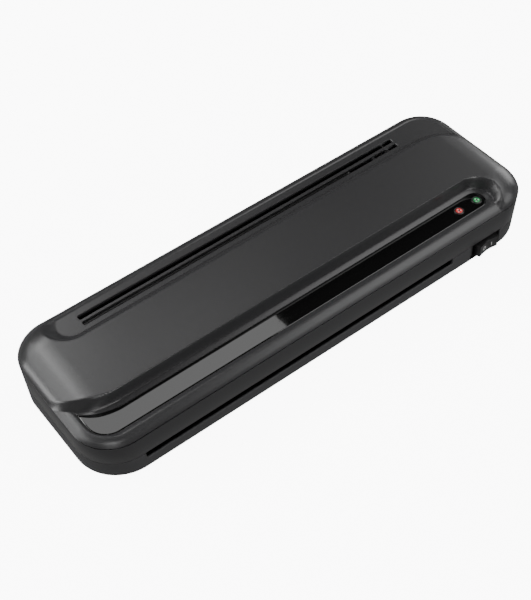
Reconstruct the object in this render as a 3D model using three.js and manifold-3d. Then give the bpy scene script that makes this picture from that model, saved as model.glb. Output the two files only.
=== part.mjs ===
// Pouch laminator for A4 sheets, in millimetres, +Z up, +Y towards the back.
// The origin is on the table, at the middle of the four feet.
import * as THREE from 'three';
import { mergeVertices } from 'three/addons/utils/BufferGeometryUtils.js';
import Module from 'manifold-3d';

// Casing
const halfLength = 170;
const halfDepth = 54;
const creaseRadius = 25.9;       // plan corner at the cover's lower edge
const baseRadius = 30;           // plan corner at the table side
const footHeight = 3;
const seamZ = 17.5;              // hairline between bottom and upper housing
const creaseZ = 34.2;            // shadow gap under the top cover
const creaseGap = 0.6;
const wall = 2.2;
const floorTop = footHeight + 2;
const partGap = 0.3;             // clearance between neighbouring pieces
const cornerSteps = 6;           // facets in each plan corner

// Top cover, heights above the crease
const topRise = 11.65;
const shoulderWidth = 22.4;
const shoulderDrop = 15.5;       // vertical half-axis of the shoulder's ellipse
const deckRise = 2.6;
const deckInset = 7.1;
const deckThickness = 3.6;
const channelRise = 7.6;
const channelInset = 9;
const sweep = { x: -134, y: 12.5 };            // centre of the left-hand sweep of the deck wall
const deckWall = { topY: -25.1, footY: -26.1 };
const deckEnd = { x: 131, topRadius: 15.7, footRadius: 11.9 };
const channelWall = { topY: -21.7, footY: -26.5 };
const channelEnd = { x: 131, topRadius: 17.3, footRadius: 9.6 };
const ventHalfLength = 124.7;
const vents = [[30.8, 33.8], [36.1, 39.6]];    // y of each vent slot

// Indicator panel
const panel = { front: -43.6, back: -29.9, left: -161.3, endX: 132, cornerRadius: 13.7, sweepRadius: 42.4 };
const panelTop = 1.6;
const panelThickness = 1.2;
const lensX = [117.6, 133.1];
const lensY = -37.1;
const lensRadius = 2.7;
const lampBoardZ = 24.6;

// Posts and feet, x and y
const casePosts = [[152, 36], [-152, 36], [152, -36], [-152, -36]];
const feet = [[128, 40], [-128, 40], [128, -40], [-128, -40]];

// Pouch path
const slot = { left: -139.5, right: 98.4, height: 5 };
const sill = 1.1;                // wall left under the entry slot
const exitSlotHeight = 5;
const nipZ = 19.5;
const rollerY = 2;
const pathSlope = Math.atan2(nipZ - (seamZ - slot.height / 2), halfDepth + rollerY);

// Switch
const pocket = { left: 115, right: 140.3, bottom: 3.9, depth: 2 };
const rocker = { x: 129.5, pivotY: -51.5, half: 8.1, rise: 4.4, bottom: 5, top: 14, tilt: 2 };
const switchWell = { left: 118.5, right: 139.4, gap: 0.25 };
const rockerReach = rocker.half * Math.sin(rad(rocker.tilt)) + rocker.rise * Math.cos(rad(rocker.tilt));
const reachY = rockerReach - rocker.pivotY;    // how far switch and gland stand out, front and back

const gland = { x: 130, z: 11.2, bore: 3.6 };

// Roller frame
const plateX = { left: -149, right: 106 };     // left face of each side plate
const plateThickness = 1.6;
const sleeve = { left: -142, right: 101, radius: 6.35 };
const shaft = { left: -152.5, right: 116.6, radius: 3 };
const gearX = 111;
const gearWidth = 5;
const lowerZ = nipZ - 6.5;
const upperZ = nipZ + 6.5;
const liftRoom = 1;

// Gears, module 1
const pressureAngle = rad(20);
const addendum = 0.8;
const dedendum = 1.15;
const backlash = 0.24;
const teeth = { roller: 13, idler: 18, pinion: 12 };
const idlerAt = { y: rollerY + 15.3, z: lowerZ + 2.48 };
const pinionAngle = rad(45);

const paints = {
  charcoal: [0x3b3b3d, 0.45, 0],
  base: [0x404042, 0.5, 0],
  gloss: [0x070708, 0.08, 0],
  black: [0x151516, 0.4, 0],
  redLens: [0xa01414, 0.2, 0],
  greenLens: [0x0f7a34, 0.2, 0],
  steel: [0xa9abad, 0.35, 1],
  brass: [0xb8924a, 0.35, 1],
  aluminium: [0xc3c5c7, 0.4, 1],
  silicone: [0x8f3b2a, 0.7, 0],
  nylon: [0xe6e2d6, 0.5, 0],
  rubber: [0x1b1b1c, 0.85, 0],
  board: [0x1f5a34, 0.5, 0],
  mica: [0xb59a6a, 0.6, 0],
};

const wasm = await Module();
wasm.setup();

function rad(degrees) {
  return degrees * Math.PI / 180;
}

// ---- solids -------------------------------------------------------------------------------

function solid(geometry) {
  const bare = geometry.clone();
  bare.deleteAttribute('normal');
  bare.deleteAttribute('uv');
  const merged = mergeVertices(bare, 1e-4);
  return new wasm.Manifold(new wasm.Mesh({
    numProp: 3,
    vertProperties: new Float32Array(merged.attributes.position.array),
    triVerts: new Uint32Array(merged.index.array),
  }));
}

function geometryOf(manifold) {
  const mesh = manifold.getMesh();
  const geometry = new THREE.BufferGeometry();
  geometry.setAttribute('position', new THREE.BufferAttribute(new Float32Array(mesh.vertProperties), 3));
  geometry.setIndex(new THREE.BufferAttribute(new Uint32Array(mesh.triVerts), 1));
  return geometry;
}

function join(...solids) {
  return solids.reduce((all, next) => all.add(next));
}

function cut(body, ...cutters) {
  return cutters.reduce((left, cutter) => left.subtract(cutter), body);
}

function boxSolid(x0, x1, y0, y1, z0, z1) {
  const geometry = new THREE.BoxGeometry(x1 - x0, y1 - y0, z1 - z0);
  return solid(geometry.translate((x0 + x1) / 2, (y0 + y1) / 2, (z0 + z1) / 2));
}

// Closed solid through rings that all have the same number of points.
function loft(rings) {
  const count = rings[0].points.length;
  const positions = rings.flatMap(({ points, z }) => points.flatMap((p) => [p.x, p.y, z]));
  const index = [];
  for (let level = 0; level + 1 < rings.length; level++) {
    for (let i = 0; i < count; i++) {
      const a = level * count + i;
      const b = level * count + (i + 1) % count;
      index.push(a, b, b + count, a, b + count, a + count);
    }
  }
  const last = (rings.length - 1) * count;
  for (const [a, b, c] of THREE.ShapeUtils.triangulateShape(rings[0].points, [])) {
    index.push(a, c, b);
  }
  for (const [a, b, c] of THREE.ShapeUtils.triangulateShape(rings.at(-1).points, [])) {
    index.push(last + a, last + b, last + c);
  }
  const geometry = new THREE.BufferGeometry();
  geometry.setAttribute('position', new THREE.Float32BufferAttribute(positions, 3));
  geometry.setIndex(index);
  return solid(geometry);
}

function prism(points, z0, z1) {
  return loft([{ points, z: z0 }, { points, z: z1 }]);
}

function arc(x, y, radius, from, to, steps) {
  const points = [];
  for (let i = 0; i <= steps; i++) {
    const angle = rad(from + (to - from) * i / steps);
    points.push(new THREE.Vector2(x + radius * Math.cos(angle), y + radius * Math.sin(angle)));
  }
  return points;
}

function roundedRectangle(inset, radius) {
  const x = halfLength - inset - radius;
  const y = halfDepth - inset - radius;
  return [
    ...arc(x, -y, radius, -90, 0, cornerSteps),
    ...arc(x, y, radius, 0, 90, cornerSteps),
    ...arc(-x, y, radius, 90, 180, cornerSteps),
    ...arc(-x, -y, radius, 180, 270, cornerSteps),
  ];
}

function disc(x, y, radius, z0, z1, steps = 12) {
  return prism(arc(x, y, radius, 0, 360, steps).slice(0, -1), z0, z1);
}

// Turns a solid built along +Z so that it lies along +X, its own x and y becoming y and z.
function alongX(geometry) {
  const turn = new THREE.Matrix4();
  turn.makeBasis(new THREE.Vector3(0, 1, 0), new THREE.Vector3(0, 0, 1), new THREE.Vector3(1, 0, 0));
  return geometry.applyMatrix4(turn);
}

function alongXSolid(manifold) {
  return solid(alongX(geometryOf(manifold)));
}

function rodX(y, z, radius, x0, x1, steps = 16) {
  return alongXSolid(disc(y, z, radius, x0, x1, steps));
}

function tubeX(y, z, radius, bore, x0, x1) {
  return cut(rodX(y, z, radius, x0, x1, 20), rodX(y, z, bore, x0 - 1, x1 + 1));
}

// ---- casing -------------------------------------------------------------------------------

// The uncut crown of the cover: an elliptical shoulder all round, shrunk by offset.
function crown(offset) {
  const start = Math.asin((shoulderDrop - topRise) / shoulderDrop);
  const scale = shoulderWidth / Math.cos(start);
  const rings = [{ points: roundedRectangle(offset, creaseRadius - offset), z: creaseZ - offset * 4 }];
  const steps = 6;
  for (let i = 0; i <= steps; i++) {
    const angle = start + (Math.PI / 2 - start) * i / steps;
    const inset = scale * (Math.cos(start) - Math.cos(angle)) + offset;
    const rise = topRise - shoulderDrop * (1 - Math.sin(angle)) - offset;
    rings.push({ points: roundedRectangle(inset, creaseRadius - inset), z: creaseZ + rise });
  }
  return loft(offset ? rings : rings.slice(1));
}

// The lower step in front (deck) or behind (channel), with its own softer shoulder.
function step(rise, inset, offset, drop, side) {
  const rings = [{ points: roundedRectangle(offset, creaseRadius - offset), z: creaseZ - drop * 4 }];
  for (const [share, height] of [[0, 0], [0.2, 0.42], [0.5, 0.75], [1, 1]]) {
    const ringInset = inset * share + offset;
    rings.push({ points: roundedRectangle(ringInset, creaseRadius - ringInset), z: creaseZ + rise * height - drop });
  }
  const half = side < 0 ? boxSolid(-200, 200, -80, 4, 0, 80) : boxSolid(-200, 200, -4, 80, 0, 80);
  return loft(drop ? rings : rings.slice(1)).intersect(half);
}

// Plan of the recess over the deck: open to the left along a sweep, closed by a round end at the right.
function recessPlan(wallY, endX, endRadius) {
  const endY = wallY - endRadius;
  const far = { x: -200, y: -80 };
  return [
    new THREE.Vector2(far.x, far.y),
    new THREE.Vector2(endX + endRadius * Math.SQRT1_2, far.y),
    ...arc(endX, endY, endRadius, -45, 90, 9),
    ...arc(sweep.x, sweep.y, sweep.y - wallY, -90, -180, 8),
    new THREE.Vector2(far.x, sweep.y),
  ];
}

function recess(wallLine, end, rise, offset, drop) {
  const foot = recessPlan(wallLine.footY + offset, end.x, end.footRadius + offset);
  const top = recessPlan(wallLine.topY + offset, end.x, end.topRadius + offset);
  return loft([
    { points: foot, z: creaseZ - 12 },
    { points: foot, z: creaseZ + rise - drop },
    { points: top, z: creaseZ + topRise - Math.min(drop, wall) },
    { points: top, z: creaseZ + topRise + 10 },
  ]);
}

function turned(manifold) {
  return solid(geometryOf(manifold).rotateZ(Math.PI));
}

function coverForm(offset) {
  const deckDrop = offset ? deckThickness : 0;
  const front = recess(deckWall, deckEnd, deckRise, offset, deckDrop);
  const rear = turned(recess(channelWall, channelEnd, channelRise, offset, offset));
  return join(
    cut(crown(offset), front, rear),
    step(deckRise, deckInset, offset, deckDrop, -1),
    step(channelRise, channelInset, offset, offset, 1),
  );
}

function panelPlan(grow) {
  const { front, back, left, endX, cornerRadius, sweepRadius } = panel;
  const endRadius = (back - front) / 2;
  const radius = sweepRadius - grow;
  const stop = -180 + Math.acos((sweep.x - left + grow) / radius) * 180 / Math.PI;
  return [
    ...arc(left + cornerRadius, front + cornerRadius, cornerRadius + grow, 180, 270, 6),
    ...arc(endX, front + endRadius, endRadius + grow, -90, 90, 8),
    ...arc(sweep.x, sweep.y, radius, -90, stop, 4),
  ];
}

function topCover() {
  const dish = loft([
    { points: panelPlan(partGap), z: creaseZ + panelTop - panelThickness - partGap },
    { points: panelPlan(partGap), z: creaseZ + panelTop - partGap },
    { points: panelPlan(2.2), z: creaseZ + deckRise + 0.05 },
    { points: panelPlan(2.2), z: creaseZ + deckRise + 1 },
  ]);
  const slots = vents.map(([y0, y1]) => boxSolid(-ventHalfLength, ventHalfLength, y0, y1, creaseZ, 60));
  const lensHoles = lensX.map((x) => disc(x, lensY, lensRadius + partGap, creaseZ - 5, creaseZ + 5));
  const shell = cut(coverForm(0), coverForm(wall), dish, ...slots, ...lensHoles);
  const core = coverForm(1);
  const posts = casePosts.map(([x, y]) =>
    join(disc(x, y, 4, seamZ, creaseZ), disc(x, y, 4, creaseZ - 2, 60).intersect(core)));
  const boardPosts = [[110, -33], [140, -33]].map(([x, y]) => disc(x, y, 2, lampBoardZ + 1.9, creaseZ));
  const screwHoles = casePosts.map(([x, y]) => disc(x, y, 1.5 + partGap, seamZ - 1, seamZ + 8));
  return cut(join(shell, ...posts, ...boardPosts), ...screwHoles);
}

// Wall of the casing between two heights; the plan corners open up towards the table.
function casingRing(z0, z1, outer, inner) {
  const radiusAt = (z) => baseRadius + (creaseRadius - baseRadius) * (z - footHeight) / (creaseZ - footHeight);
  const ring = (inset, z) => ({ points: roundedRectangle(inset, radiusAt(z) - inset), z });
  const body = loft([ring(outer, z0), ring(outer, z1)]);
  return cut(body, loft([ring(inner, z0 - 0.5), ring(inner, z1 + 0.5)]));
}

function upperHousing() {
  const bottom = seamZ + partGap / 2;
  const top = creaseZ - creaseGap;
  const outerWall = casingRing(bottom, top, 0, wall);
  const lip = casingRing(top - 5, creaseZ - partGap, wall + partGap, wall + 1.7);
  const lipRoot = casingRing(top - 5, top, wall - 0.4, wall + 1.7);
  const exit = boxSolid(slot.left, slot.right, 40, 60, bottom - 1, seamZ + exitSlotHeight);
  const shelfZ = seamZ + exitSlotHeight + 0.7;
  const shelf = boxSolid(slot.left - 1.5, slot.right + 1.5, 46.5, halfDepth - wall + 0.4, shelfZ, shelfZ + 1.4);
  return cut(join(outerWall, lip, lipRoot, shelf), exit);
}

function bottomHousing() {
  const top = seamZ - partGap / 2;
  const ring = (inset, z) => ({ points: roundedRectangle(inset, baseRadius - inset), z });
  const tray = cut(
    join(
      loft([ring(2.2, footHeight), ring(0.8, footHeight + 0.5), ring(0.15, footHeight + 1.6), ring(0, footHeight + 3)]),
      casingRing(footHeight + 3, top, 0, wall),
    ),
    loft([ring(wall, floorTop), ring(wall, footHeight + 3.01)]),
  );
  const lip = join(
    casingRing(8, top, wall - 0.4, wall + 1.7),
    casingRing(8, seamZ + 1.6, wall + partGap, wall + 1.7),
  );
  const entry = join(
    boxSolid(slot.left, slot.right, -60, -40, seamZ - slot.height, 30),
    boxSolid(slot.left, slot.right, -halfDepth + sill, -45, 9, 30),
  );
  const exit = boxSolid(slot.left, slot.right, 40, 60, seamZ, 30);
  const { left, right, bottom, depth } = pocket;
  const pocketBack = -halfDepth + depth + 1.3;
  const pocketBox = boxSolid(left - 1.4, right + 1.4, -halfDepth + 0.1, pocketBack + 1.6, 4, top);
  const pocketCut = boxSolid(left, right, -60, pocketBack, bottom, 30);
  const switchHole = boxSolid(switchWell.left - 1, switchWell.right + 0.9, -60, -34.6, pocket.bottom, 15.5);
  const posts = casePosts.map(([x, y]) => disc(x, y, 5, floorTop - 1, seamZ - partGap));
  const screwWells = casePosts.flatMap(([x, y]) => [
    disc(x, y, 3.3, footHeight - 1, footHeight + 5.3),
    disc(x, y, 1.5 + partGap, footHeight, seamZ + 1),
  ]);
  const boardPosts = [[147, -19], [159, -19], [147, 17], [159, 17]].map(([x, y]) => disc(x, y, 2.5, floorTop - 1, 9.4));
  const footWells = feet.map(([x, y]) => disc(x, y, 6 + partGap, footHeight - 1, footHeight + 0.7));
  const frameHoles = frameScrews.map(([x, y]) => disc(x, y, 1.5, footHeight + 0.4, floorTop + 1));
  const glandHole = rodY(gland.x, gland.z, 5.3, 44, 60);
  return cut(
    join(tray, lip, pocketBox, ...posts, ...boardPosts),
    entry, exit, pocketCut, switchHole, glandHole, ...screwWells, ...footWells, ...frameHoles,
  );
}

function rodY(x, z, radius, y0, y1) {
  const geometry = new THREE.CylinderGeometry(radius, radius, y1 - y0, 16);
  return solid(geometry.translate(x, (y0 + y1) / 2, z));
}

function cordGland() {
  const body = join(
    rodY(gland.x, gland.z, 6.6, halfDepth + partGap, reachY),
    rodY(gland.x, gland.z, 5, 47.8, halfDepth + 1),
  );
  return cut(body, rodY(gland.x, gland.z, gland.bore, 40, 60));
}

function indicatorPanel() {
  const plate = prism(panelPlan(0), creaseZ + panelTop - panelThickness, creaseZ + panelTop);
  return cut(plate, ...lensX.map((x) => disc(x, lensY, lensRadius + partGap, creaseZ - 5, creaseZ + 5)));
}

function lathe(profile, segments = 12) {
  const geometry = new THREE.LatheGeometry(profile.map(([r, z]) => new THREE.Vector2(r, z)), segments);
  return geometry.rotateX(Math.PI / 2);
}

function lens(x) {
  const top = creaseZ + panelTop + 0.35;
  const profile = [[0, 28.3], [1.9, 28.3], [lensRadius, 30], [lensRadius, top - 0.5], [1.9, top - 0.1], [0, top]];
  return lathe(profile).translate(x, lensY, 0);
}

function lamp(x) {
  const base = lampBoardZ + 1.9;
  return lathe([[0, base], [1.5, base], [1.5, 27.2], [0, 27.8]], 8).translate(x, lensY, 0);
}

// ---- switch -------------------------------------------------------------------------------

function switchBody() {
  const face = -halfDepth + pocket.depth;
  const flange = boxSolid(pocket.left + 0.4, pocket.right - 0.4, face, face + 1, pocket.bottom + 0.3, 16.9);
  const body = boxSolid(switchWell.left - 0.6, switchWell.right + 0.5, face + 0.5, -35, pocket.bottom + 0.3, 15.1);
  const { left, right, gap } = switchWell;
  const well = boxSolid(left, right, -60, rocker.pivotY + 4.5, rocker.bottom - gap, rocker.top + gap);
  return cut(join(flange, body), well);
}

// Rocker with a hollowed face, tipped so that its right-hand end is pressed in.
function switchRocker() {
  const { half, rise, bottom, top } = rocker;
  const end = Math.hypot(half, rise);
  const rimAngle = Math.atan2(rise, half) * 180 / Math.PI;
  const outline = [
    ...arc(0, 0, end, -rimAngle, 0, 3),
    new THREE.Vector2(end - 3, 2.6),
    new THREE.Vector2(3 - end, 2.6),
    ...arc(0, 0, end, 180, 180 + rimAngle, 3),
    new THREE.Vector2(-half * 0.5, -rise + 0.85),
    new THREE.Vector2(0, -rise + 1.15),
    new THREE.Vector2(half * 0.5, -rise + 0.85),
  ];
  const body = geometryOf(prism(outline, bottom, top));
  return body.rotateZ(rad(rocker.tilt)).translate(rocker.x, rocker.pivotY, 0);
}

// ---- gears --------------------------------------------------------------------------------

// Involute spur gear lying along X, with one tooth centred on the angle phase in the YZ plane.
function gear(count, phase, at, bore, width = gearWidth) {
  const pitch = count / 2;
  const baseCircle = pitch * Math.cos(pressureAngle);
  const involute = (angle) => Math.tan(angle) - angle;
  const halfTooth = (radius) => Math.PI / (2 * count) - backlash / (2 * pitch)
    + involute(pressureAngle) - involute(Math.acos(Math.min(1, baseCircle / radius)));
  const flank = [pitch - dedendum, Math.max(baseCircle, pitch - 0.5), pitch + 0.1, pitch + addendum];
  const points = [];
  for (let tooth = 0; tooth < count; tooth++) {
    const middle = phase + tooth * 2 * Math.PI / count;
    const rightSide = flank.map((radius) => [radius, middle - halfTooth(radius)]);
    const leftSide = flank.map((radius) => [radius, middle + halfTooth(radius)]).reverse();
    for (const [radius, angle] of [...rightSide, ...leftSide]) {
      points.push(new THREE.Vector2(at.y + radius * Math.cos(angle), at.z + radius * Math.sin(angle)));
    }
  }
  return cut(alongXSolid(prism(points, gearX, gearX + width)), rodX(at.y, at.z, bore, gearX - 1, gearX + width + 1));
}

// Phase that puts a gap of the follower opposite a tooth of its driver, seen along the line of centres.
function meshPhase(driverTeeth, driverPhase, direction, followerTeeth) {
  const place = (direction - driverPhase) * driverTeeth / (2 * Math.PI);
  return direction + Math.PI - (0.5 - place) * 2 * Math.PI / followerTeeth;
}

const lowerAt = { y: rollerY, z: lowerZ };
const upperAt = { y: rollerY, z: upperZ };
const pinionAt = {
  y: idlerAt.y + 15 * Math.cos(pinionAngle),
  z: idlerAt.z + 15 * Math.sin(pinionAngle),
};
const idlerDirection = Math.atan2(idlerAt.z - lowerAt.z, idlerAt.y - lowerAt.y);
const lowerPhase = Math.PI / 2;
const upperPhase = meshPhase(teeth.roller, lowerPhase, Math.PI / 2, teeth.roller);
const idlerPhase = meshPhase(teeth.roller, lowerPhase, idlerDirection, teeth.idler);
const pinionPhase = meshPhase(teeth.idler, idlerPhase, pinionAngle, teeth.pinion);

// ---- roller frame and drive ---------------------------------------------------------------

const frameScrews = [[102, -20], [102, 25], [-143.4, -20], [-143.4, 25]];
const springTop = 36.4;
const bearingTop = upperZ + 5;

function sidePlate(x, inward) {
  const front = inward > 0 ? -30 : -38;
  const back = inward > 0 ? 30 : 37;
  const outline = [[front, 5.3], [back, 5.3], [back, 36.4], [25, 38.4], [-14, 38.4], [-20, 33.4], [front, 30]];
  const points = outline.map(([y, z]) => new THREE.Vector2(y, z));
  const plate = alongXSolid(prism(points, x, x + plateThickness));
  const edge = inward > 0 ? x + plateThickness / 2 : x + plateThickness / 2 - 8;
  const footings = [[front, -14], [16, back]].map(([y0, y1]) => boxSolid(edge, edge + 8, y0, y1, 5.3, 6.9));
  const window = boxSolid(x - 1, x + 3, rollerY - 5.3, rollerY + 5.3, upperZ - 5.3, springTop + partGap);
  const lowerHole = rodX(rollerY, lowerZ, 5.3, x - 1, x + 3);
  const holes = frameScrews.map(([sx, sy]) => disc(sx, sy, 1.5, 4, 8));
  return cut(join(plate, ...footings), window, lowerHole, ...holes);
}

function lowerBush(x, inward) {
  const plateMiddle = x + plateThickness / 2;
  const flangeX = inward > 0 ? x + plateThickness + partGap : x - partGap - 2.2;
  const body = join(
    rodX(lowerAt.y, lowerAt.z, 5, plateMiddle - 2.6, plateMiddle + 2.6),
    rodX(lowerAt.y, lowerAt.z, 6.3, flangeX, flangeX + 2.2),
  );
  return cut(body, rodX(lowerAt.y, lowerAt.z, shaft.radius + partGap, x - 10, x + 10));
}

function upperBearing(x, inward) {
  const plateMiddle = x + plateThickness / 2;
  const flangeX = inward > 0 ? x + plateThickness + partGap : x - partGap - 2.2;
  const body = join(
    boxSolid(plateMiddle - 2.6, plateMiddle + 2.6, rollerY - 5, rollerY + 5, upperZ - 5, bearingTop),
    boxSolid(flangeX, flangeX + 2.2, rollerY - 6.8, rollerY + 6.8, upperZ - 5, bearingTop),
  );
  return cut(body, rodX(upperAt.y, upperAt.z, shaft.radius + partGap, x - 10, x + 10));
}

class Helix extends THREE.Curve {
  constructor(radius, height, turns) {
    super();
    Object.assign(this, { radius, height, turns });
  }

  getPoint(t, target = new THREE.Vector3()) {
    const angle = t * this.turns * 2 * Math.PI;
    return target.set(this.radius * Math.cos(angle), this.radius * Math.sin(angle), this.height * t);
  }
}

function pressureSpring(x) {
  const wire = 0.4;
  const section = new THREE.Shape(arc(0, 0, wire, 0, 360, 5).slice(0, -1));
  const height = springTop - bearingTop - 2 * (partGap + wire);
  const geometry = new THREE.ExtrudeGeometry(section, {
    extrudePath: new Helix(2, height, 4),
    steps: 32,
    bevelEnabled: false,
  });
  return geometry.translate(x + plateThickness / 2, rollerY, bearingTop + partGap + wire);
}

function motorBracket() {
  const outline = [[8, 5.6], [42, 5.6], [46, 10], [46, 36], [42, 38.8], [8, 38.8]];
  const points = outline.map(([y, z]) => new THREE.Vector2(y, z));
  const left = gearX + gearWidth + 1.2;
  const plate = alongXSolid(prism(points, left, left + plateThickness));
  const spacers = [[33, 35.5], [33, 9], [12, 36.5]].map(([y, z]) =>
    rodX(y, z, 2, plateX.right + plateThickness + partGap, left + 0.5, 12));
  return cut(join(plate, ...spacers), rodX(pinionAt.y, pinionAt.z, 4, left - 1, left + 3));
}

function gearMotor() {
  const left = gearX + gearWidth + 1.2 + plateThickness + partGap;
  const can = rodX(25.5, 22.3, 16.4, left, left + 17, 24);
  const cap = rodX(25.5, 22.3, 12, left + 16.5, left + 19.5, 16);
  return cut(join(can, cap), rodX(pinionAt.y, pinionAt.z, 2.3, left - 1, left + 6));
}

function motorPinion() {
  const stem = rodX(pinionAt.y, pinionAt.z, 2, gearX + 0.5, 124.4, 16);
  return join(gear(teeth.pinion, pinionPhase, pinionAt, 1), stem);
}

function slopedPlate(length, depth, thickness, above) {
  const middleY = -21;
  const pathZ = nipZ - (rollerY - middleY) * Math.tan(pathSlope);
  const geometry = new THREE.BoxGeometry(length, depth, thickness);
  const centre = (plateX.left + plateThickness + plateX.right) / 2;
  return geometry.rotateX(pathSlope).translate(centre, middleY, pathZ + above);
}

function guide(profile, left, right) {
  const points = profile.map(([y, z]) => new THREE.Vector2(y, z));
  return alongXSolid(prism(points, left, right));
}

function screw(x, y, tip, headBottom, headHeight, headRadius, shankRadius) {
  const top = headBottom + headHeight;
  const profile = headBottom > tip
    ? [[0, tip], [shankRadius, tip], [shankRadius, headBottom], [headRadius, headBottom], [headRadius, top], [0, top]]
    : [[0, headBottom], [headRadius, headBottom], [headRadius, top], [shankRadius, top], [shankRadius, tip], [0, tip]];
  return lathe(profile, 8).translate(x, y, 0);
}

function foot(x, y) {
  const top = footHeight + 0.7 - partGap;
  return lathe([[0, 0], [5.2, 0], [6, 0.8], [6, top], [0, top]], 16).translate(x, y, 0);
}

// ---- assembly -----------------------------------------------------------------------------

const laminator = new THREE.Group();

function add(name, shape, paint) {
  const [color, roughness, metalness] = paints[paint];
  const material = new THREE.MeshStandardMaterial({ color, roughness, metalness });
  const geometry = shape.isBufferGeometry ? shape : geometryOf(shape);
  const mesh = new THREE.Mesh(geometry, material);
  mesh.name = name;
  laminator.add(mesh);
}

const innerLeft = plateX.left + plateThickness + 0.4;
const innerRight = plateX.right - 0.4;
const innerLength = innerRight - innerLeft;

add('bottom_housing', bottomHousing(), 'base');
add('upper_housing', upperHousing(), 'charcoal');
add('top_cover', topCover(), 'charcoal');
add('indicator_panel', indicatorPanel(), 'gloss');
add('power_lens', lens(lensX[0]), 'redLens');
add('ready_lens', lens(lensX[1]), 'greenLens');
add('power_lamp', lamp(lensX[0]), 'redLens');
add('ready_lamp', lamp(lensX[1]), 'greenLens');
add('indicator_board', boxSolid(107.9, 143, -44, -31, lampBoardZ, lampBoardZ + 1.6), 'board');
add('switch_body', switchBody(), 'black');
add('switch_rocker', switchRocker(), 'black');
add('cord_gland', cordGland(), 'rubber');

const corners = ['rear_right', 'rear_left', 'front_right', 'front_left'];
corners.forEach((corner, i) => {
  add(`foot_${corner}`, foot(...feet[i]), 'rubber');
  add(`case_screw_${corner}`, screw(...casePosts[i], 25, footHeight + 3, 2, 2.8, 1.5), 'steel');
  add(`frame_screw_${corner}`, screw(...frameScrews[[1, 3, 0, 2][i]], 3.7, 7.2, 1.4, 2.4, 1.2), 'steel');
});

for (const [side, x, inward] of [['left', plateX.left, 1], ['right', plateX.right, -1]]) {
  add(`side_plate_${side}`, sidePlate(x, inward), 'steel');
  add(`lower_bush_${side}`, lowerBush(x, inward), 'brass');
  add(`upper_bearing_${side}`, upperBearing(x, inward), 'nylon');
  add(`pressure_spring_${side}`, pressureSpring(x), 'steel');
}
add('tie_bar_front', rodX(-27, 9.1, 2, innerLeft, innerRight, 12), 'steel');
add('tie_bar_rear', rodX(26, 31, 2, innerLeft, innerRight, 12), 'steel');

for (const [level, at, phase] of [['lower', lowerAt, lowerPhase], ['upper', upperAt, upperPhase]]) {
  add(`${level}_roller_shaft`, rodX(at.y, at.z, shaft.radius, shaft.left, shaft.right), 'steel');
  add(`${level}_roller_sleeve`,
    tubeX(at.y, at.z, sleeve.radius, shaft.radius + partGap, sleeve.left, sleeve.right), 'silicone');
  add(`${level}_roller_gear`, gear(teeth.roller, phase, at, shaft.radius + partGap), 'nylon');
}
add('idler_gear', gear(teeth.idler, idlerPhase, idlerAt, 2.3), 'nylon');
add('idler_stud', rodX(idlerAt.y, idlerAt.z, 2, plateX.right + plateThickness + partGap, 116.6, 16), 'steel');
add('motor_bracket', motorBracket(), 'steel');
add('gear_motor', gearMotor(), 'steel');
add('motor_pinion', motorPinion(), 'nylon');

add('lower_heating_plate', slopedPlate(innerLength, 26, 3, -2.5), 'aluminium');
add('lower_heating_element', slopedPlate(200, 16, 1.5, -5.05), 'mica');
add('upper_heating_plate', slopedPlate(innerLength, 26, 3, 2.8), 'aluminium');
add('upper_heating_element', slopedPlate(200, 16, 1.5, 5.35), 'mica');
add('thermostat', disc(-20, -21, 6, 24.6, 30), 'black');
add('thermal_fuse', rodX(-21, 26.4, 1.6, 12, 24, 12), 'brass');
add('entry_guide', guide([[-49.5, 10.9], [-35.6, 13.8], [-35.6, 15.3], [-49.5, 12.3]], -140.5, 99.4), 'black');
add('exit_guide', guide([[11, 16.2], [49.4, 15.6], [49.4, 17.2], [11, 18]], -140.5, 99.4), 'black');

add('control_board', boxSolid(144, 162, -22, 20, 9.7, 11.3), 'board');
add('terminal_block', boxSolid(146, 160, 8, 18, 11.6, 19), 'nylon');
add('motor_capacitor', boxSolid(146, 160, -18, -8, 11.6, 21.6), 'black');

export default laminator;
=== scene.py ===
import math

import bmesh
import bpy
import numpy as np
from mathutils import Matrix, Vector


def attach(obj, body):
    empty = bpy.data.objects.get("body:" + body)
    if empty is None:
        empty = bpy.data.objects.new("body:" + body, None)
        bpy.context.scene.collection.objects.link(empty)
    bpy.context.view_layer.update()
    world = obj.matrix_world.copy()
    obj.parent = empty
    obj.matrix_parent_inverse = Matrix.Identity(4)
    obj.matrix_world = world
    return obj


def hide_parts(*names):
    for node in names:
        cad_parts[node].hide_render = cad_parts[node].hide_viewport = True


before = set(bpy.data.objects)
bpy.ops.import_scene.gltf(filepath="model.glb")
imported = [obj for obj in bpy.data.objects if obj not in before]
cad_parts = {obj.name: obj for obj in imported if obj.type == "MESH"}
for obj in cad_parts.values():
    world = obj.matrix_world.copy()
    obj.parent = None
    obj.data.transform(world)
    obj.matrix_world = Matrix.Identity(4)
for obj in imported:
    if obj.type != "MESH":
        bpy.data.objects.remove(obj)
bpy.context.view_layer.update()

mm = 0.001

# Casing sizes in millimetres, the same driving sizes as the frame's shells.
casing = {
    "halfLength": 170.0,
    "halfDepth": 54.0,
    "creaseRadius": 25.9,
    "baseRadius": 30.0,
    "wall": 2.2,
    "bottomZ": 3.0,
    "seamZ": 17.5,
    "creaseZ": 34.2,
    "creaseGap": 0.95,
    "cornerPoints": 28,
}


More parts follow.
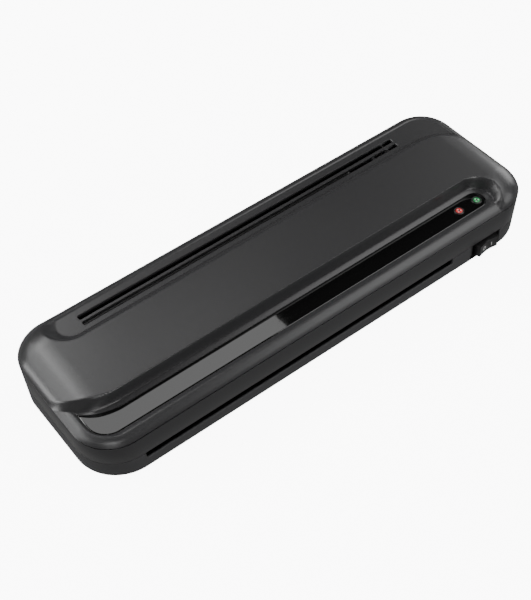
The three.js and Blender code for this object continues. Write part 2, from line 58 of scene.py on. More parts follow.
class Value:
    # A node's output that can be written into an expression.
    def __init__(self, recipe, socket):
        self.recipe = recipe
        self.socket = socket

    def maths(self, operation, *others, clamp=False):
        return self.recipe.maths(operation, self, *others, clamp=clamp)

    def __add__(self, other):
        return self.maths("ADD", other)

    def __radd__(self, other):
        return self.recipe.maths("ADD", other, self)

    def __sub__(self, other):
        return self.maths("SUBTRACT", other)

    def __rsub__(self, other):
        return self.recipe.maths("SUBTRACT", other, self)

    def __mul__(self, other):
        return self.maths("MULTIPLY", other)

    def __rmul__(self, other):
        return self.recipe.maths("MULTIPLY", other, self)

    def __truediv__(self, other):
        return self.maths("DIVIDE", other)

    def __rtruediv__(self, other):
        return self.recipe.maths("DIVIDE", other, self)

    def __pow__(self, other):
        return self.maths("POWER", other)

    def __abs__(self):
        return self.maths("ABSOLUTE")


class Recipe:
    # Builds one material's nodes.
    def __init__(self, name):
        self.material = bpy.data.materials.new(name)
        self.material.use_nodes = True
        self.tree = self.material.node_tree
        self.tree.nodes.clear()
        self.position = Value(self, self.tree.nodes.new("ShaderNodeTexCoord").outputs["Object"])

    def connect(self, socket, value):
        if isinstance(value, Value):
            self.tree.links.new(value.socket, socket)
        else:
            socket.default_value = value

    def node(self, kind, settings=None, inputs=None, output=0):
        made = self.tree.nodes.new("ShaderNode" + kind)
        for key, setting in (settings or {}).items():
            setattr(made, key, setting)
        for key, value in (inputs or {}).items():
            self.connect(made.inputs[key], value)
        return Value(self, made.outputs[output])

    def maths(self, operation, *values, clamp=False):
        return self.node("Math", {"operation": operation, "use_clamp": clamp}, dict(enumerate(values)))

    def axis(self, letter):
        return self.node("SeparateXYZ", None, {0: self.position}, output=letter)

    def scaled(self, factors):
        return self.node("VectorMath", {"operation": "MULTIPLY"}, {0: self.position, 1: factors})

    def noise(self, scale, detail=3.0, roughness=0.5, vector=None):
        place = vector or self.position
        inputs = {"Vector": place, "Scale": scale, "Detail": detail, "Roughness": roughness}
        return self.node("TexNoise", None, inputs)

    def cells(self, scale):
        return self.node("TexVoronoi", {"feature": "F1"}, {"Vector": self.position, "Scale": scale})

    def bands(self, direction, scale):
        inputs = {"Vector": self.position, "Scale": scale, "Distortion": 0.0}
        return self.node("TexWave", {"bands_direction": direction}, inputs)

    def blend(self, share, first, second):
        # The colour sockets of a Mix node come after its number and vector ones.
        return self.node("Mix", {"data_type": "RGBA"}, {0: share, 6: first, 7: second}, output=2)

    def ramp(self, value, low, high):
        return ((value - low) / (high - low)).maths("ADD", 0.0, clamp=True)

    def bump(self, height, strength, distance):
        inputs = {"Height": height, "Strength": strength, "Distance": distance}
        return self.node("Bump", None, inputs)

    def finish(self, inputs):
        shader = self.node("BsdfPrincipled", None, inputs)
        output = self.tree.nodes.new("ShaderNodeOutputMaterial")
        self.tree.links.new(shader.socket, output.inputs["Surface"])
        return self.material


def grey(level, tint=0.0):
    return (level, level, level * (1 + tint), 1.0)


def mouldedPlastic(name, look):
    # Spark-eroded grain, a slow drift of tone and sheen, rubbed patches, a few fine hairline scratches and,
    # if the look asks for it, painted shade that blackens the inner faces.
    recipe = Recipe(name)
    drift = recipe.noise(look["driftScale"], 2.0)
    grain = recipe.cells(look["grainScale"])
    fine = recipe.noise(look["grainScale"] * 0.55, 2.0)
    rubbed = recipe.ramp(recipe.noise(38.0, 4.0, 0.6), 0.52, 0.7)
    scratches = recipe.noise(900.0, 1.0, 0.4, recipe.scaled((0.02, 1.0, 0.6)))
    hairline = recipe.ramp(scratches, 0.69, 0.74) * recipe.ramp(recipe.noise(60.0, 1.0), 0.5, 0.62)
    tone = recipe.blend(drift, grey(look["dark"], 0.03), grey(look["light"], 0.03))
    tone = recipe.blend(rubbed * look["rub"], tone, grey(look["light"] * 1.5))
    if "paintedShadeAt" in look:
        # Painted shade: inner faces blackened by how far a point lies inside the casing's outline, standing
        # in for the shadow inside the casing.
        acrossX = (abs(recipe.axis("X")) - 0.142).maths("MAXIMUM", 0.0)
        acrossY = (abs(recipe.axis("Y")) - 0.026).maths("MAXIMUM", 0.0)
        depth = 0.028 - (acrossX * acrossX + acrossY * acrossY) ** 0.5
        inside = recipe.ramp(depth, look["paintedShadeAt"], look["paintedShadeAt"] + 0.0004)
        tone = recipe.blend(inside, tone, grey(0.004))
    roughness = look["roughness"] + (drift - 0.5) * 0.08 - rubbed * 0.012 + hairline * 0.04
    roughness = roughness + (grain - 0.4) * 0.04
    height = grain * 0.6 + fine * 0.4 - hairline * 0.3
    return recipe.finish({
        "Base Color": tone,
        "Roughness": roughness,
        "Normal": recipe.bump(height, look["grainStrength"], 0.00006),
        "IOR": 1.5,
    })


def glossPlastic(name, look):
    # Polished surface with faint orange peel, polishing swirls and a little dust.
    recipe = Recipe(name)
    peel = recipe.noise(230.0, 2.0)
    swirl = recipe.noise(1500.0, 2.0, 0.5, recipe.scaled((0.05, 1.0, 1.0)))
    dust = recipe.ramp(recipe.cells(2600.0) * -1.0, -0.07, -0.03)
    dust = dust * recipe.ramp(recipe.noise(90.0, 2.0), 0.55, 0.7)
    tone = recipe.blend(dust * 0.5, grey(look["tone"]), grey(0.18))
    roughness = look["roughness"] + recipe.ramp(swirl, 0.55, 0.75) * 0.05 + dust * 0.3
    return recipe.finish({
        "Base Color": tone,
        "Roughness": roughness,
        "Normal": recipe.bump(peel, 0.06, 0.0001),
        "IOR": 1.52,
        "Coat Weight": look["coat"],
        "Coat Roughness": 0.02,
    })


def metal(name, look):
    # Rolled or turned metal: fine streaks along one way, cloudy plating and small stains.
    recipe = Recipe(name)
    streaks = recipe.noise(700.0, 3.0, 0.6, recipe.scaled(look["stretch"]))
    cloud = recipe.noise(45.0, 3.0)
    stain = recipe.ramp(recipe.noise(160.0, 4.0, 0.7), 0.6, 0.78)
    tone = recipe.blend(cloud, look["dark"], look["light"])
    tone = recipe.blend(stain * 0.35, tone, look["stain"])
    roughness = look["roughness"] + (streaks - 0.5) * 0.22 + stain * 0.15
    return recipe.finish({
        "Base Color": tone,
        "Roughness": roughness,
        "Metallic": 1.0,
        "Normal": recipe.bump(streaks, 0.25, 0.00004),
    })


def softPolymer(name, look):
    # Rubber, silicone and natural nylon: cloudy tone, flow marks and a light bloom.
    recipe = Recipe(name)
    cloud = recipe.noise(70.0, 3.0)
    bloom = recipe.ramp(recipe.noise(26.0, 4.0, 0.65), 0.5, 0.75)
    pores = recipe.cells(1900.0)
    tone = recipe.blend(cloud, look["dark"], look["light"])
    tone = recipe.blend(bloom * look["bloom"], tone, look["bloomTone"])
    roughness = look["roughness"] + (cloud - 0.5) * 0.12 + bloom * 0.08
    return recipe.finish({
        "Base Color": tone,
        "Roughness": roughness,
        "Normal": recipe.bump(pores * 0.5 + cloud * 0.5, look["grain"], 0.00006),
    })


def circuitBoard(name):
    # Solder resist over copper tracks that run along and across, with a glass weave below.
    recipe = Recipe(name)
    along = recipe.bands("X", 60.0)
    across = recipe.bands("Y", 48.0)
    patches = recipe.ramp(recipe.noise(120.0, 0.0), 0.48, 0.52)
    track = recipe.ramp(along * patches + across * (1 - patches), 0.72, 0.78)
    weave = recipe.noise(2400.0, 1.0)
    tone = recipe.blend(track, (0.008, 0.055, 0.02, 1.0), (0.02, 0.14, 0.05, 1.0))
    return recipe.finish({
        "Base Color": tone,
        "Roughness": 0.34 + weave * 0.1,
        "Normal": recipe.bump(track * 0.7 + weave * 0.3, 0.3, 0.00008),
    })


def micaSheet(name):
    # Flaky laminate with a flat wire winding pressed into it.
    recipe = Recipe(name)
    flakes = recipe.cells(420.0)
    cloud = recipe.noise(90.0, 4.0)
    wire = recipe.ramp(recipe.bands("X", 130.0), 0.8, 0.9)
    tone = recipe.blend(flakes + cloud * 0.3, (0.36, 0.22, 0.09, 1.0), (0.56, 0.41, 0.2, 1.0))
    tone = recipe.blend(wire * 0.6, tone, (0.12, 0.09, 0.07, 1.0))
    return recipe.finish({
        "Base Color": tone,
        "Roughness": 0.45 + cloud * 0.15,
        "Normal": recipe.bump(flakes * 0.3 + wire * 0.7, 0.4, 0.0001),
    })


def lensPlastic(name, look, centre):
    # Tinted dome over a lamp: dark rim and middle, a coloured ring, and three painted highlights drawn as
    # bright spots in the emission around it.
    recipe = Recipe(name)
    x = (recipe.axis("X") - centre[0]) / (look["radius"] * mm)
    y = (recipe.axis("Y") - centre[1]) / (look["radius"] * mm)
    distance = (x * x + y * y) ** 0.5
    tinted = recipe.ramp(distance, 0.18, 0.42) * (1 - recipe.ramp(distance, 0.7, 0.84))
    # Painted highlights: three bright spots in the emission stand in for reflections of the lights.
    paintedGlints = 0
    for angle in look["paintedGlintAngles"]:
        gx = x - look["paintedGlintPlace"] * math.cos(math.radians(angle))
        gy = y - look["paintedGlintPlace"] * math.sin(math.radians(angle))
        paintedGlints = (1 - recipe.ramp((gx * gx + gy * gy) ** 0.5, 0.1, 0.24)) + paintedGlints
    paintedGlints = paintedGlints.maths("MINIMUM", 1.0)
    facets = recipe.cells(1400.0)
    tone = recipe.blend(tinted, look["rim"], look["middle"])
    light = recipe.blend(paintedGlints, recipe.blend(tinted * 0.6, (0, 0, 0, 1), look["glow"]), look["paintedGlintColour"])
    return recipe.finish({
        "Base Color": tone,
        "Roughness": 0.3 + facets * 0.1,
        "Emission Color": light,
        "Emission Strength": look["strength"],
        "Normal": recipe.bump(facets, 0.15, 0.00008),
        "Coat Weight": 0.08,
    })


def markPaint(name):
    # Printed marks, slightly worn.
    recipe = Recipe(name)
    worn = recipe.ramp(recipe.noise(1500.0, 3.0, 0.6), 0.55, 0.75)
    return recipe.finish({
        "Base Color": recipe.blend(worn * 0.5, (0.62, 0.62, 0.61, 1.0), (0.4, 0.4, 0.4, 1.0)),
        "Roughness": 0.5 + worn * 0.2,
        "Normal": recipe.bump(worn, 0.2, 0.00003),
    })


plasticLook = {
    "driftScale": 5.0, "grainScale": 2300.0, "dark": 0.026, "light": 0.033, "rub": 0.03,
    "roughness": 0.3, "grainStrength": 0.05,
}
baseLook = {
    "driftScale": 7.0, "grainScale": 1700.0, "dark": 0.032, "light": 0.042, "rub": 0.1,
    "roughness": 0.44, "grainStrength": 0.3, "paintedShadeAt": 0.0013,
}
blackLook = {
    "driftScale": 9.0, "grainScale": 2600.0, "dark": 0.011, "light": 0.017, "rub": 0.12,
    "roughness": 0.3, "grainStrength": 0.14,
}
glossLook = {"tone": 0.0035, "roughness": 0.03, "coat": 0.4}
steelLook = {
    "stretch": (0.04, 1.0, 1.0), "roughness": 0.34,
    "dark": (0.42, 0.42, 0.43, 1), "light": (0.62, 0.62, 0.63, 1), "stain": (0.3, 0.28, 0.25, 1),
}
bronzeLook = {
    "stretch": (1.0, 1.0, 0.2), "roughness": 0.38,
    "dark": (0.42, 0.27, 0.1, 1), "light": (0.62, 0.43, 0.19, 1), "stain": (0.2, 0.13, 0.06, 1),
}
aluminiumLook = {
    "stretch": (0.02, 1.0, 1.0), "roughness": 0.4,
    "dark": (0.55, 0.56, 0.57, 1), "light": (0.72, 0.73, 0.74, 1), "stain": (0.45, 0.42, 0.38, 1),
}
rubberLook = {
    "dark": grey(0.012), "light": grey(0.022), "bloom": 0.25, "bloomTone": grey(0.06),
    "roughness": 0.72, "grain": 0.35,
}
siliconeLook = {
    "dark": (0.2, 0.035, 0.02, 1), "light": (0.3, 0.06, 0.035, 1), "bloom": 0.2,
    "bloomTone": (0.42, 0.2, 0.16, 1), "roughness": 0.6, "grain": 0.25,
}
nylonLook = {
    "dark": (0.62, 0.58, 0.48, 1), "light": (0.76, 0.72, 0.62, 1), "bloom": 0.2,
    "bloomTone": (0.5, 0.45, 0.35, 1), "roughness": 0.42, "grain": 0.15,
}

coverPlastic = mouldedPlastic("coverPlastic", plasticLook)
# The cover's look again, with painted shade on the inner faces, for the upper housing.
wallPlasticPaintedShade = mouldedPlastic("wallPlasticPaintedShade", dict(plasticLook, paintedShadeAt=baseLook["paintedShadeAt"]))
# The base's own plastic, also with painted shade on its inner faces.
basePlastic = mouldedPlastic("basePlastic", baseLook)
switchPlastic = mouldedPlastic("switchPlastic", blackLook)
panelGloss = glossPlastic("panelGloss", glossLook)
steel = metal("zincSteel", steelLook)
brass = metal("sinteredBronze", bronzeLook)
aluminium = metal("extrudedAluminium", aluminiumLook)
rubber = softPolymer("footRubber", rubberLook)
silicone = softPolymer("rollerSilicone", siliconeLook)
nylon = softPolymer("naturalNylon", nylonLook)
board = circuitBoard("solderResist")
mica = micaSheet("micaLaminate")


def deselectAll():
    if bpy.context.object and bpy.context.object.mode != "OBJECT":
        bpy.ops.object.mode_set(mode="OBJECT")
    bpy.ops.object.select_all(action="DESELECT")


def activate(node):
    deselectAll()
    node.select_set(True)
    bpy.context.view_layer.objects.active = node


def settle(node):
    # Puts the object at the origin, unturned and unscaled, with its place in the mesh.
    activate(node)
    bpy.ops.object.transform_apply(location=True, rotation=True, scale=True)
    return node


def modifier(node, kind, **settings):
    activate(node)
    made = node.modifiers.new(kind.lower(), kind)
    for key, value in settings.items():
        setattr(made, key, value)
    bpy.ops.object.modifier_apply(modifier=made.name)


def bevel(node, width, segments=2, angle=35.0):
    modifier(node, "BEVEL", width=width * mm, segments=segments, limit_method="ANGLE",
             angle_limit=math.radians(angle), use_clamp_overlap=True, harden_normals=False)


def smooth(node, angle=35.0):
    activate(node)
    bpy.ops.object.shade_smooth_by_angle(angle=math.radians(angle))


def outward(node):
    activate(node)
    bpy.ops.object.mode_set(mode="EDIT")
    bpy.ops.mesh.select_all(action="SELECT")
    bpy.ops.mesh.remove_doubles(threshold=0.000002)
    bpy.ops.mesh.normals_make_consistent(inside=False)
    bpy.ops.object.mode_set(mode="OBJECT")


def combine(node, others, operation, solver):
    for other in others:
        modifier(node, "BOOLEAN", operation=operation, object=other, solver=solver)
        bpy.data.objects.remove(other)


def cutWith(node, *cutters, solver="EXACT"):
    combine(node, cutters, "DIFFERENCE", solver)


def joinWith(node, *others, solver="EXACT"):
    combine(node, others, "UNION", solver)


def block(name, low, high, edge=0.0, segments=3):
    centre = [(a + b) / 2 * mm for a, b in zip(low, high)]
    size = [(b - a) * mm for a, b in zip(low, high)]
    deselectAll()
    bpy.ops.mesh.primitive_cube_add(size=1, location=centre, scale=size)
    node = bpy.context.object
    node.name = name
    settle(node)
    if edge:
        bevel(node, edge, segments)
    return node


def rod(name, centre, radius, low, high, sides=48):
    place = [value * mm for value in (*centre, (low + high) / 2)]
    deselectAll()
    bpy.ops.mesh.primitive_cylinder_add(vertices=sides, radius=radius * mm, depth=(high - low) * mm,
                                        location=place)
    node = bpy.context.object
    node.name = name
    return settle(node)


def arcPoints(x, y, radius, start, stop, steps):
    angles = np.radians(np.linspace(start, stop, steps + 1))
    return [(x + radius * math.cos(a), y + radius * math.sin(a)) for a in angles]


def cornerRing(inset, radius):
    # The casing's outline, moved in by the inset, as one ring of points.
    steps = casing["cornerPoints"]
    x = casing["halfLength"] - inset - radius
    y = casing["halfDepth"] - inset - radius
    return [*arcPoints(x, -y, radius, -90, 0, steps), *arcPoints(x, y, radius, 0, 90, steps),
            *arcPoints(-x, y, radius, 90, 180, steps), *arcPoints(-x, -y, radius, 180, 270, steps)]


def extrudeLoop(node, order):
    # Extrudes the selected edge loop in edit mode; returns the new vertices in the old ones' order.
    bpy.ops.mesh.extrude_region_move()
    edit = bmesh.from_edit_mesh(node.data)
    edit.verts.index_update()
    fresh = {}
    for vertex in edit.verts:
        if vertex.select:
            for edge in vertex.link_edges:
                other = edge.other_vert(vertex)
                if not other.select:
                    fresh[other.index] = vertex.index
    edit.verts.ensure_lookup_table()
    return [fresh[index] for index in order]


def loftRings(name, rings, closed=False):
    # Rings of the same count, each a list of x and y with one height, joined by extruding edge loops.
    count = len(rings[0][0])
    deselectAll()
    bpy.ops.mesh.primitive_circle_add(vertices=count, radius=0.1, fill_type="NOTHING")
    node = bpy.context.object
    node.name = name
    node.data.name = name
    bpy.ops.object.mode_set(mode="EDIT")
    bpy.ops.mesh.select_all(action="SELECT")
    order = list(range(count))
    for level, (points, z) in enumerate(rings):
        if level:
            order = extrudeLoop(node, order)
        edit = bmesh.from_edit_mesh(node.data)
        edit.verts.ensure_lookup_table()
        for place, index in enumerate(order):
            x, y = points[place]
            edit.verts[index].co = (x * mm, y * mm, z * mm)
        bmesh.update_edit_mesh(node.data)
    if not closed:
        bpy.ops.mesh.edge_face_add()
        edit = bmesh.from_edit_mesh(node.data)
        for face in edit.faces:
            face.select = False
        for edge in edit.edges:
            edge.select_set(edge.is_boundary)
        bmesh.update_edit_mesh(node.data)
        bpy.ops.mesh.edge_face_add()
    bpy.ops.object.mode_set(mode="OBJECT")
    outward(node)
    return node


def prism(name, points, low, high):
    return loftRings(name, [(points, low), (points, high)])


def profileRing(name, profile):
    # A wall that runs round the casing: profile points are (inset, height, plan radius).
    rings = [(cornerRing(inset, radius - inset), z) for inset, z, radius in profile]
    return loftRings(name, rings + rings[:1], closed=True)


def dress(node, material, body, nodes):
    # One material, the CAD nodes the piece stands for, and its body.
    node.data.materials.clear()
    node.data.materials.append(material)
    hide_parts(*nodes)
    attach(node, body)
    return node


def readPoints(node):
    flat = np.empty(len(node.data.vertices) * 3)
    node.data.vertices.foreach_get("co", flat)
    return flat.reshape(-1, 3)


def writePoints(node, points):
    node.data.vertices.foreach_set("co", points.ravel())
    node.data.update()


def alongY(node):
    # Turns a piece that was lofted along Z to lie along Y.
    writePoints(node, readPoints(node)[:, [0, 2, 1]])
    outward(node)
    return node


def roundedBox(x0, x1, y0, y1, radius, steps=6):
    radius = min(radius, (x1 - x0) / 2 - 0.01, (y1 - y0) / 2 - 0.01)
    return [*arcPoints(x1 - radius, y0 + radius, radius, -90, 0, steps),
            *arcPoints(x1 - radius, y1 - radius, radius, 0, 90, steps),
            *arcPoints(x0 + radius, y1 - radius, radius, 90, 180, steps),
            *arcPoints(x0 + radius, y0 + radius, radius, 180, 270, steps)]


def turnedPiece(name, centre, profile, sides=48, closed=False):
    # Turned about an upright axis: profile points are (radius, height).
    rings = []
    for radius, place in profile:
        rings.append((arcPoints(*centre, radius, 0, 360, sides)[:-1], place))
    return loftRings(name, rings + rings[:1] if closed else rings, closed)


def windowCutter(name, x0, x1, z0, z1, outer, inner, corner, flare):
    # A cutter through a front or rear wall, with its mouth flared at the outer face.
    side = 1 if outer > inner else -1
    wide = roundedBox(x0 - flare, x1 + flare, z0 - flare, z1 + flare, corner + flare)
    tight = roundedBox(x0, x1, z0, z1, corner)
    levels = [(wide, outer + side * 2), (wide, outer), (tight, outer - side * flare), (tight, inner)]
    return alongY(loftRings(name, levels))


cover = {
    "topRise": 11.65,
    "shoulderWidth": 22.4,
    "shoulderDrop": 15.5,
    "deckRise": 2.6,
    "deckInset": 7.1,
    "stripZ": 1.6,
    "channelRise": 7.6,
    "channelInset": 9.0,
    "channelDish": 0.45,
    "sweepX": -134.0,
    "sweepY": 12.5,
    "front": {"topY": -25.1, "footY": -26.1, "endX": 131.0, "topRadius": 15.7, "footRadius": 11.9,
              "sweepLean": 2.2, "topRound": 0.5, "footRound": 0.3},
    "rear": {"topY": -21.7, "footY": -26.5, "endX": 131.0, "topRadius": 17.3, "footRadius": 9.6,
             "sweepLean": 0.0, "topRound": 1.3, "footRound": 0.8},
    "vents": [(30.8, 33.8), (36.1, 39.6)],
    "ventHalfLength": 124.7,
    "ventCorner": 0.4,
    "ventFlare": 0.5,
    "cavities": [((-145, -22, -6), (145, 18, 9.2), 3), ((-151, -19, -6), (-140, 31.5, 7), 1.5),
                 ((-150, 10, -6), (150, 47.5, 5.1), 2)],
    "underside": [(0.08, 0.08), (0.3, 0.14), (4.3, 0.14), (4.6, 1.2), (9.0, 1.2)],
    "boardPosts": [(110, -33), (140, -33)],
    "posts": [(152, 36), (-152, 36), (152, -36), (-152, -36)],
}

panel = {
    "front": -43.6,
    "back": -29.9,
    "left": -161.3,
    "endX": 132.0,
    "cornerRadius": 13.7,
    "sweepRadius": 42.4,
    "thickness": 1.2,
    "gap": 0.3,
    "lensX": (117.6, 133.1),
    "lensY": -37.1,
    "hole": 3.0,
}


def smoothMin(a, b, k):
    # The smaller of two heights, blended over a width k.
    return np.minimum(a, b) - np.maximum(k - np.abs(a - b), 0) ** 2 / (4 * k)


def smoothMax(a, b, k):
    return -smoothMin(-a, -b, k)


def outlineInset(x, y):
    radius = casing["creaseRadius"]
    qx = np.abs(x) - casing["halfLength"] + radius
    qy = np.abs(y) - casing["halfDepth"] + radius
    outside = np.hypot(np.maximum(qx, 0), np.maximum(qy, 0))
    return radius - outside - np.minimum(np.maximum(qx, qy), 0)


def pillow(inset):
    # The crown's height, by distance in from the casing's outline.
    start = math.asin(1 - cover["topRise"] / cover["shoulderDrop"])
    cosine = np.maximum(math.cos(start) * (1 - inset / cover["shoulderWidth"]), 0)
    return cover["topRise"] - cover["shoulderDrop"] * (1 - np.sqrt(1 - cosine ** 2))


def softStep(rise, width, inset):
    return rise * (1 - (1 - np.clip(inset / width, 0, 1)) ** 2.2)


def panelDistance(x, y):
    # Distance outside the indicator panel's outline, good near the outline.
    radius = (panel["back"] - panel["front"]) / 2
    middle = panel["front"] + radius
    end = np.hypot(np.maximum(x - panel["endX"], 0), y - middle) - radius
    corner = panel["cornerRadius"]
    cx = panel["left"] + corner
    cy = panel["front"] + corner
    frontLeft = np.hypot(np.minimum(x - cx, 0), np.minimum(y - cy, 0)) - corner
    sweep = panel["sweepRadius"] - np.hypot(x - cover["sweepX"], y - cover["sweepY"])
    left = np.where((x < cx) & (y < cy), frontLeft, np.maximum(panel["left"] - x, panel["front"] - y))
    leftPart = np.maximum(left, np.where(x < cover["sweepX"], sweep, y - panel["back"]))
    return np.where(x > panel["endX"] - 60, end, leftPart)


def wallShare(x, y, wall):
    # 0 at the foot of a wall, 1 at its top edge; the wall sweeps out at -X and ends in a round at +X.
    sweepX, sweepY = cover["sweepX"], cover["sweepY"]
    lean = wall["topY"] - wall["footY"]
    straight = (y - wall["footY"]) / lean
    leanMm = np.full_like(x, lean)
    topRadius = sweepY - wall["topY"]
    dx = np.minimum(x - sweepX, 0)
    dy = np.minimum(y - sweepY, 0)
    reach = np.hypot(dx, dy)
    turn = np.clip(-dx / np.maximum(reach, 1) * 1.4, 0, 1)
    sweepLean = lean + wall["sweepLean"] * turn * turn * (3 - 2 * turn)
    sweep = (topRadius + sweepLean - reach) / sweepLean
    footY = wall["footY"] - wall["footRadius"]
    offset = wall["topY"] - wall["topRadius"] - footY
    ex = x - wall["endX"]
    ey = y - footY
    radial = np.maximum(np.hypot(ex, ey), 1e-6)
    sine = np.maximum(ey / radial, -math.sqrt(0.5))
    cosineSquared = 1 - sine ** 2
    topReach = offset * sine + np.sqrt(wall["topRadius"] ** 2 - offset ** 2 * cosineSquared)
    endLean = topReach - wall["footRadius"]
    around = (radial - wall["footRadius"]) / endLean
    low = ey < -ex
    footX = wall["footRadius"] * math.sqrt(0.5)
    topX = topReach * math.sqrt(0.5)
    around = np.where(low, (ex - footX) / (topX - footX), around)
    share = np.where(x < sweepX, sweep, np.where(x > wall["endX"], around, straight))
    leanMm = np.where(x < sweepX, sweepLean, np.where(x > wall["endX"], endLean, leanMm))
    top = wall["topRound"] / leanMm
    foot = wall["footRound"] / leanMm
    return smoothMin(smoothMax(share, 0, foot), 1, top)


def coverHeight(x, y):
    inset = outlineInset(x, y)
    main = pillow(inset)
    slope = 0.31 + 0.35 * np.clip((-150 - x) / 8, 0, 1)
    dish = cover["stripZ"] + slope * np.maximum(panelDistance(x, y), 0)
    deck = smoothMin(softStep(cover["deckRise"], cover["deckInset"], inset), dish, 0.25)
    floor = softStep(cover["channelRise"], cover["channelInset"], inset)
    floor -= cover["channelDish"] * np.clip((inset - cover["channelInset"] + 0.6) / 1.2, 0, 1)
    front = deck + (main - deck) * wallShare(x, y, cover["front"])
    rear = floor + (main - floor) * wallShare(-x, -y, cover["rear"])
    return np.where(y < 0, front, rear)


def coverLines():
    # Grid lines across and along: fine where the walls and ends are, wide where nothing changes.
    radius = casing["creaseRadius"]
    corner = casing["halfLength"] - radius
    depth = casing["halfDepth"]
    turns = np.sin(np.linspace(0, math.pi / 2, 58)) * radius + corner
    columns = np.concatenate([
        -turns[::-1], np.arange(-corner + 0.5, -124, 0.5), np.arange(-122, 117, 4.0),
        np.arange(118, corner, 0.5), turns])
    rows = np.concatenate([
        np.linspace(-depth, -27.2, 62), np.linspace(-27, -24.4, 19), np.linspace(-24, 0, 50),
        np.linspace(0.8, 20.6, 25), np.linspace(21, depth, 76)])
    return columns, rows


def buildCoverSkin():
    # A grid shaped into the cover's top, then closed underneath by loops drawn in from its edge.
    columns, rows = coverLines()
    deselectAll()
    bpy.ops.mesh.primitive_grid_add(x_subdivisions=len(columns) - 1, y_subdivisions=len(rows) - 1, size=1)
    node = bpy.context.object
    node.name = "top_cover_skin"
    flat = readPoints(node)
    column = np.rint((flat[:, 0] + 0.5) * (len(columns) - 1)).astype(int)
    row = np.rint((flat[:, 1] + 0.5) * (len(rows) - 1)).astype(int)
    x = columns[column]
    radius = casing["creaseRadius"]
    past = np.clip(np.abs(x) - casing["halfLength"] + radius, 0, radius)
    halfWidth = casing["halfDepth"] - radius + np.sqrt(radius ** 2 - past ** 2)
    y = rows[row] / casing["halfDepth"] * halfWidth
    z = coverHeight(x, y)
    edge = (column == 0) | (column == len(columns) - 1) | (row == 0) | (row == len(rows) - 1)
    z[edge] = 0
    points = np.stack([x, y, z + casing["creaseZ"]], 1) * mm
    writePoints(node, points)

    activate(node)
    bpy.ops.object.mode_set(mode="EDIT")
    bpy.ops.mesh.select_mode(type="VERT")
    bpy.ops.mesh.select_all(action="DESELECT")
    edit = bmesh.from_edit_mesh(node.data)
    order = []
    for vertex in edit.verts:
        if vertex.is_boundary:
            vertex.select = True
            order.append(vertex.index)
    for item in edit.edges:
        item.select = item.is_boundary
    edit.select_flush_mode()
    bmesh.update_edit_mesh(node.data)
    home = points[order] / mm
    corner = np.array([casing["halfLength"] - radius, casing["halfDepth"] - radius])
    normal = np.sign(home[:, :2]) * np.maximum(np.abs(home[:, :2]) - corner, 0)
    normal /= np.maximum(np.linalg.norm(normal, axis=1, keepdims=True), 1e-9)
    for inset, drop in cover["underside"]:
        order = extrudeLoop(node, order)
        edit = bmesh.from_edit_mesh(node.data)
        for place, index in enumerate(order):
            px, py = home[place, :2] - normal[place] * inset
            edit.verts[index].co = (px * mm, py * mm, (casing["creaseZ"] - drop) * mm)
        bmesh.update_edit_mesh(node.data)
    bpy.ops.mesh.edge_face_add()
    bpy.ops.object.mode_set(mode="OBJECT")
    outward(node)
    return node


def panelPlan(grow):
    # The gloss strip's outline, grown by a distance.
    middle = (panel["back"] - panel["front"]) / 2
    corner = panel["cornerRadius"]
    radius = panel["sweepRadius"] - grow
    stop = -180 + math.degrees(math.acos((cover["sweepX"] - panel["left"] + grow) / radius))
    return [*arcPoints(panel["left"] + corner, panel["front"] + corner, corner + grow, 180, 270, 24),
            *arcPoints(panel["endX"], panel["front"] + middle, middle + grow, -90, 90, 32),
            *arcPoints(cover["sweepX"], cover["sweepY"], radius, -90, stop, 24)]


def ventCutter(low, high):
    z = casing["creaseZ"]
    half, corner, flare = cover["ventHalfLength"], cover["ventCorner"], cover["ventFlare"]
    wide = roundedBox(-half - flare, half + flare, low - flare, high + flare, corner + flare)
    tight = roundedBox(-half, half, low, high, corner)
    top = z + cover["channelRise"] - cover["channelDish"]
    return loftRings("vent", [(tight, z), (tight, top - 0.33), (wide, top + 0.17), (wide, top + 3)])


def buildTopCover():
    z = casing["creaseZ"]
    node = buildCoverSkin()
    cutters = []
    for low, high, edge in cover["cavities"]:
        cutters.append(block("cavity", (*low[:2], z + low[2]), (*high[:2], z + high[2]), edge, 4))
    cutters.append(prism("pocket", panelPlan(panel["gap"]), z + 0.1, z + 8))
    for low, high in cover["vents"]:
        cutters.append(ventCutter(low, high))
    for x in panel["lensX"]:
        cutters.append(rod("lensWell", (x, panel["lensY"]), panel["hole"], z - 4, z + 4, sides=64))
    cutWith(node, *cutters, solver="MANIFOLD")
    for place in cover["posts"]:
        joinWith(node, turnedPiece("post", place, [(4, 17.5), (4, z - 0.5)], sides=40), solver="MANIFOLD")
        cutWith(node, rod("screwHole", place, 1.8, 15, 25.5, sides=32), solver="MANIFOLD")
    for place in cover["boardPosts"]:
        joinWith(node, turnedPiece("post", place, [(2, 26.5), (2, z - 0.5)], sides=32), solver="MANIFOLD")
    smooth(node, 28)
    return dress(node, coverPlastic, "root", ["top_cover"])


topCover = buildTopCover()
print("stage: top cover", len(topCover.data.polygons), "faces")


housing = {
    "edge": 0.3,
    "slotLeft": -139.5,
    "slotRight": 98.4,
    "slotHeight": 5.0,
    "slotCorner": 1.3,
    "slotFlare": 0.35,
    "pocket": (115.0, 140.3, 3.9),
    "pocketBack": -50.7,
    "sill": 1.1,
    "switchHole": (117.5, 140.3, 3.9, 15.5),
    "boardPosts": [(147, -19), (159, -19), (147, 17), (159, 17)],
    "feet": [(128, 40), (-128, 40), (128, -40), (-128, -40)],
    "frameScrews": [(102, -20), (102, 25), (-143.4, -20), (-143.4, 25)],
    "gland": (130.0, 11.2),
    "glandHole": 5.3,
    "shelf": (46.5, 52.2, 23.2, 24.6),
    "wellRadius": 3.3,
    "screwRadius": 1.8,
    "footWell": 6.3,
    "frameScrew": 1.5,
}


